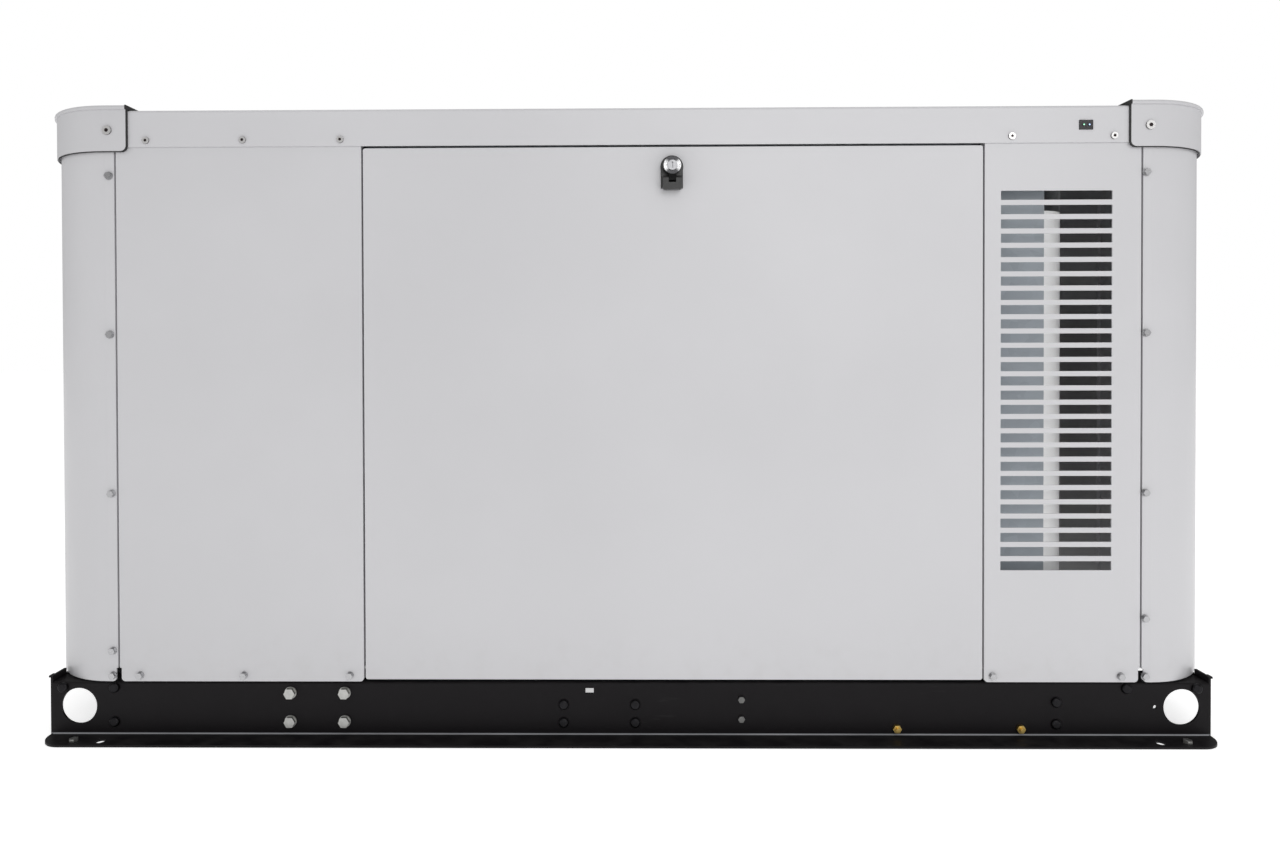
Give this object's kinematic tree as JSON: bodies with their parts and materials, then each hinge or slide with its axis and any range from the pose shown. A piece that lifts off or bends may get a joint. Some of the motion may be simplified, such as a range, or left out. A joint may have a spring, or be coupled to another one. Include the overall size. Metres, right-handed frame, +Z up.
{
  "type": "home standby generator",
  "caption": "Enclosed home standby generator: liquid-cooled engine and alternator on a steel base, tilt-out service door, louvred air outlets, rounded corners.",
  "frame": {"origin": "on the ground, under the middle of the base", "axes": "+X along the enclosure towards the louvred discharge end, -Y towards the service door, +Z up"},
  "size_m": [1.621, 0.742, 0.844],
  "materials": {
    "base_rail_front": "satin powder coat",
    "base_rail_rear": "satin powder coat",
    "base_cross_members": "satin powder coat",
    "frame_bolts": "zinc plated",
    "corner_posts": "satin powder coat",
    "corner_caps": "satin powder coat",
    "cap_trims": "matt",
    "roof_panel": "satin powder coat",
    "left_front_panel": "satin powder coat",
    "front_louvre_panel": "satin powder coat",
    "rear_intake_panel": "satin powder coat",
    "rear_centre_panel": "satin powder coat",
    "rear_louvre_panel": "satin powder coat",
    "left_end_panel": "satin powder coat",
    "right_end_panel": "satin powder coat",
    "door_frame": "galvanised",
    "door_pivot_pins": "zinc plated",
    "enclosure_screws": "zinc plated",
    "status_light": "gloss",
    "service_door": "satin powder coat",
    "door_seal": "matt foam",
    "latch_housing": "textured",
    "latch_barrel": "black zinc",
    "latch_lever": "textured",
    "latch_key_plug": "bright",
    "engine_block": "painted casting",
    "oil_pan": "satin",
    "oil_filter": "gloss",
    "cylinder_head": "cast",
    "valve_cover": "wrinkle paint",
    "oil_filler_cap": "moulded",
    "dipstick": "painted handle",
    "crankshaft": "machined",
    "crank_pulley": "machined",
    "radiator_fan": "moulded",
    "drive_belt": "matt",
    "starter_motor": "satin",
    "intake_manifold": "cast",
    "exhaust_manifold": "heat-tinted",
    "muffler": "aluminised",
    "alternator_frame": "satin",
    "stator": "varnished",
    "rotor": "varnished",
    "vibration_mounts": "matt",
    "radiator": "black painted",
    "radiator_cap": "plated",
    "fan_shroud": "moulded",
    "coolant_hoses": "matt",
    "bulkhead": "galvanised",
    "discharge_duct": "galvanised",
    "air_cleaner": "moulded",
    "gas_train": "cast and painted",
    "battery": "moulded",
    "battery_cables": "insulated lead",
    "control_box": "satin",
    "control_panel": "textured",
    "auto_button": "moulded",
    "manual_button": "moulded",
    "off_button": "moulded",
    "breaker_lever": "moulded"
  },
  "bodies": {
    "frame": {"base_rail_front": "base_rail_front", "base_rail_rear": "base_rail_rear", "base_cross_members": "base_cross_members", "frame_bolts": "frame_bolts", "corner_posts": "corner_posts", "corner_caps": "corner_caps", "cap_trims": "cap_trims", "roof_panel": "roof_panel", "left_front_panel": "left_front_panel", "front_louvre_panel": "front_louvre_panel", "rear_intake_panel": "rear_intake_panel", "rear_centre_panel": "rear_centre_panel", "rear_louvre_panel": "rear_louvre_panel", "left_end_panel": "left_end_panel", "right_end_panel": "right_end_panel", "door_frame": "door_frame", "door_pivot_pins": "door_pivot_pins", "enclosure_screws": "enclosure_screws", "status_light": "status_light", "engine_block": "engine_block", "oil_pan": "oil_pan", "oil_filter": "oil_filter", "cylinder_head": "cylinder_head", "valve_cover": "valve_cover", "drive_belt": "drive_belt", "starter_motor": "starter_motor", "intake_manifold": "intake_manifold", "exhaust_manifold": "exhaust_manifold", "muffler": "muffler", "alternator_frame": "alternator_frame", "stator": "stator", "vibration_mounts": "vibration_mounts", "radiator": "radiator", "fan_shroud": "fan_shroud", "coolant_hoses": "coolant_hoses", "bulkhead": "bulkhead", "discharge_duct": "discharge_duct", "air_cleaner": "air_cleaner", "gas_train": "gas_train", "battery": "battery", "battery_cables": "battery_cables", "control_box": "control_box", "control_panel": "control_panel"},
    "door": {"service_door": "service_door", "door_seal": "door_seal", "latch_housing": "latch_housing"},
    "latch_barrel": {"latch_barrel": "latch_barrel"},
    "latch_lever": {"latch_lever": "latch_lever"},
    "key_plug": {"latch_key_plug": "latch_key_plug"},
    "crank_train": {"crankshaft": "crankshaft", "crank_pulley": "crank_pulley", "rotor": "rotor"},
    "fan": {"radiator_fan": "radiator_fan"},
    "oil_filler_cap": {"oil_filler_cap": "oil_filler_cap"},
    "dipstick": {"dipstick": "dipstick"},
    "radiator_cap": {"radiator_cap": "radiator_cap"},
    "breaker_lever": {"breaker_lever": "breaker_lever"},
    "auto_button": {"auto_button": "auto_button"},
    "manual_button": {"manual_button": "manual_button"},
    "off_button": {"off_button": "off_button"}
  },
  "joints": [
    {"name": "door_tilt", "type": "hinge", "parent": "frame", "child": "door", "pos_m": [0.061, -0.333, 0.092], "axis": [1, 0, 0], "range_deg": [0, 80]},
    {"name": "latch_turn", "type": "hinge", "parent": "door", "child": "latch_barrel", "pos_m": [0.061, -0.35, 0.759], "axis": [0, 1, 0], "range_deg": [0, 90]},
    {"name": "latch_lift", "type": "hinge", "parent": "latch_barrel", "child": "latch_lever", "pos_m": [0.061, -0.353, 0.742], "axis": [-1, 0, 0], "range_deg": [0, 80]},
    {"name": "key_turn", "type": "hinge", "parent": "latch_barrel", "child": "key_plug", "pos_m": [0.061, -0.355, 0.759], "axis": [0, 1, 0], "range_deg": [0, 90]},
    {"name": "crank_spin", "type": "hinge", "parent": "frame", "child": "crank_train", "pos_m": [0.1, 0, 0.27], "axis": [1, 0, 0], "continuous": true},
    {"name": "fan_spin", "type": "hinge", "parent": "frame", "child": "fan", "pos_m": [0.372, 0, 0.43], "axis": [1, 0, 0], "continuous": true},
    {"name": "filler_cap_turn", "type": "hinge", "parent": "frame", "child": "oil_filler_cap", "pos_m": [0.02, 0, 0.62], "axis": [0, 0, 1], "range_deg": [0, 120]},
    {"name": "dipstick_pull", "type": "slide", "parent": "frame", "child": "dipstick", "axis": [0, 0, 1], "range_m": [0, 0.2]},
    {"name": "radiator_cap_turn", "type": "hinge", "parent": "frame", "child": "radiator_cap", "pos_m": [0.453, -0.18, 0.655], "axis": [0, 0, 1], "range_deg": [0, 90]},
    {"name": "breaker_throw", "type": "hinge", "parent": "frame", "child": "breaker_lever", "pos_m": [-0.16, -0.288, 0.66], "axis": [1, 0, 0], "range_deg": [-25, 25]},
    {"name": "auto_press", "type": "slide", "parent": "frame", "child": "auto_button", "axis": [0, 1, 0], "range_m": [0, 0.0015], "stiffness_N_per_m": 300},
    {"name": "manual_press", "type": "slide", "parent": "frame", "child": "manual_button", "axis": [0, 1, 0], "range_m": [0, 0.0015], "stiffness_N_per_m": 300},
    {"name": "off_press", "type": "slide", "parent": "frame", "child": "off_button", "axis": [0, 1, 0], "range_m": [0, 0.0015], "stiffness_N_per_m": 300}
  ],
  "couplings": [
    {"joint": "fan_spin", "follows": "crank_spin", "ratio": 1.1}
  ]
}
